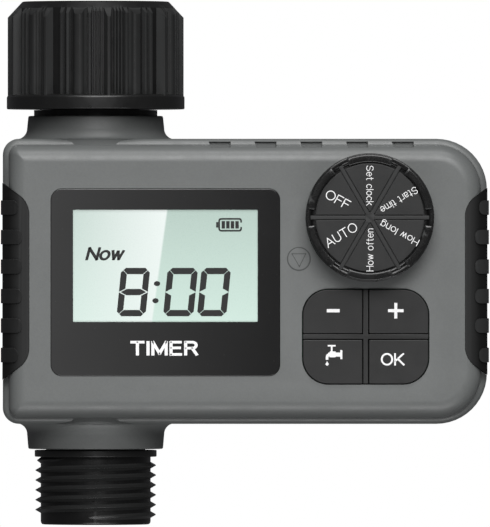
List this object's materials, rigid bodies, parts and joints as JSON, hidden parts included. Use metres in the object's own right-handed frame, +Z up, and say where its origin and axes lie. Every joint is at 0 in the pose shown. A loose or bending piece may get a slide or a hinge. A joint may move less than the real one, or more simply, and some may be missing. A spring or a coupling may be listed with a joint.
{
  "type": "drip irrigation timer",
  "caption": "Tap-hung irrigation timer: ribbed swivel inlet nut, flat grey housing with display window, mode dial, keypad and rubber grips, and a threaded hose outlet below.",
  "frame": {"origin": "centre of the inlet washer's sealing face, on the water axis", "axes": "+Z up along the inlet, +X from the water path towards the dial, front facing -Y"},
  "size_m": [0.109, 0.0503, 0.117],
  "materials": {
    "housing_grey": "fine matt texture",
    "black_plastic": "satin",
    "dark_plastic": "satin",
    "key_plastic": "satin",
    "window_black": "high gloss",
    "natural_plastic": "satin",
    "soft_rubber": "matt",
    "membrane": "matt",
    "valve_plastic": "satin",
    "lcd": "gloss",
    "board": "solder mask",
    "components": "satin",
    "steel": "plain",
    "magnet": "plain",
    "copper_wire": "enamelled",
    "brass_plate": "plain",
    "cell_skin": "gloss sleeve",
    "cable": "gloss"
  },
  "bodies": {
    "housing": {"inlet_washer": "soft_rubber", "inlet_filter": "natural_plastic", "inlet_spigot": "black_plastic", "spigot_clips": "steel", "spigot_orings": "soft_rubber", "rear_housing": "housing_grey", "front_cover": "housing_grey", "housing_seal": "soft_rubber", "housing_screws": "steel", "grip_left": "soft_rubber", "display_window": "window_black", "lcd_glass": "lcd", "lcd_holder": "natural_plastic", "lcd_connectors": "membrane", "main_pcb": "board", "pcb_components": "components", "pcb_screws": "steel", "tact_switches": "components", "keypad_frame": "black_plastic", "keypad_membrane": "membrane", "dial_seal": "soft_rubber", "rotary_switch": "components", "detent_spring": "steel", "valve_body": "valve_plastic", "valve_bonnet": "valve_plastic", "bonnet_screws": "steel", "diaphragm": "soft_rubber", "diaphragm_spring": "steel", "plunger_tube": "natural_plastic", "plunger_spring": "steel", "solenoid_core": "steel", "latch_magnet": "magnet", "coil_bobbin": "natural_plastic", "coil_winding": "copper_wire", "yoke": "steel", "solenoid_leads": "cable", "housing_terminals": "brass_plate", "battery_leads": "cable", "outlet_spigot": "black_plastic"},
    "nut": {"inlet_nut": "black_plastic"},
    "dial": {"dial_knob": "dark_plastic", "dial_face": "dark_plastic", "dial_shaft": "natural_plastic", "switch_rotor": "natural_plastic"},
    "key_minus": {"button_minus": "key_plastic"},
    "key_plus": {"button_plus": "key_plastic"},
    "key_manual": {"button_manual": "key_plastic"},
    "key_ok": {"button_ok": "key_plastic"},
    "plunger": {"plunger": "steel", "plunger_seal": "soft_rubber"},
    "diaphragm_core": {"diaphragm_insert": "natural_plastic"},
    "drawer": {"battery_tray": "dark_plastic", "grip_right": "soft_rubber", "tray_seal": "soft_rubber", "battery_upper": "cell_skin", "battery_lower": "cell_skin", "tray_springs": "steel", "tray_contacts": "steel"}
  },
  "joints": [
    {"name": "nut_swivel", "type": "hinge", "parent": "housing", "child": "nut", "pos_m": [0, 0, 0], "axis": [0, 0, 1], "continuous": true},
    {"name": "dial_turn", "type": "hinge", "parent": "housing", "child": "dial", "pos_m": [0.0612, 0, -0.0344], "axis": [0, 1, 0], "continuous": true, "deforming": ["detent_spring"]},
    {"name": "minus_press", "type": "slide", "parent": "housing", "child": "key_minus", "axis": [0, 1, 0], "range_m": [0, 0.0006], "stiffness_N_per_m": 800, "springref_m": -0.0006},
    {"name": "plus_press", "type": "slide", "parent": "housing", "child": "key_plus", "axis": [0, 1, 0], "range_m": [0, 0.0006], "stiffness_N_per_m": 800, "springref_m": -0.0006},
    {"name": "manual_press", "type": "slide", "parent": "housing", "child": "key_manual", "axis": [0, 1, 0], "range_m": [0, 0.0006], "stiffness_N_per_m": 800, "springref_m": -0.0006},
    {"name": "ok_press", "type": "slide", "parent": "housing", "child": "key_ok", "axis": [0, 1, 0], "range_m": [0, 0.0006], "stiffness_N_per_m": 800, "springref_m": -0.0006},
    {"name": "drawer_slide", "type": "slide", "parent": "housing", "child": "drawer", "axis": [1, 0, 0], "range_m": [0, 0.055]},
    {"name": "plunger_slide", "type": "slide", "parent": "housing", "child": "plunger", "axis": [1, 0, 0], "range_m": [0, 0.0015], "stiffness_N_per_m": 300, "springref_m": -0.003, "deforming": ["plunger_spring"]},
    {"name": "diaphragm_lift", "type": "slide", "parent": "housing", "child": "diaphragm_core", "axis": [1, 0, 0], "range_m": [0, 0.0018], "deforming": ["diaphragm", "diaphragm_spring"]}
  ],
  "couplings": [
    {"joint": "diaphragm_lift", "follows": "plunger_slide", "ratio": 1.2}
  ]
}
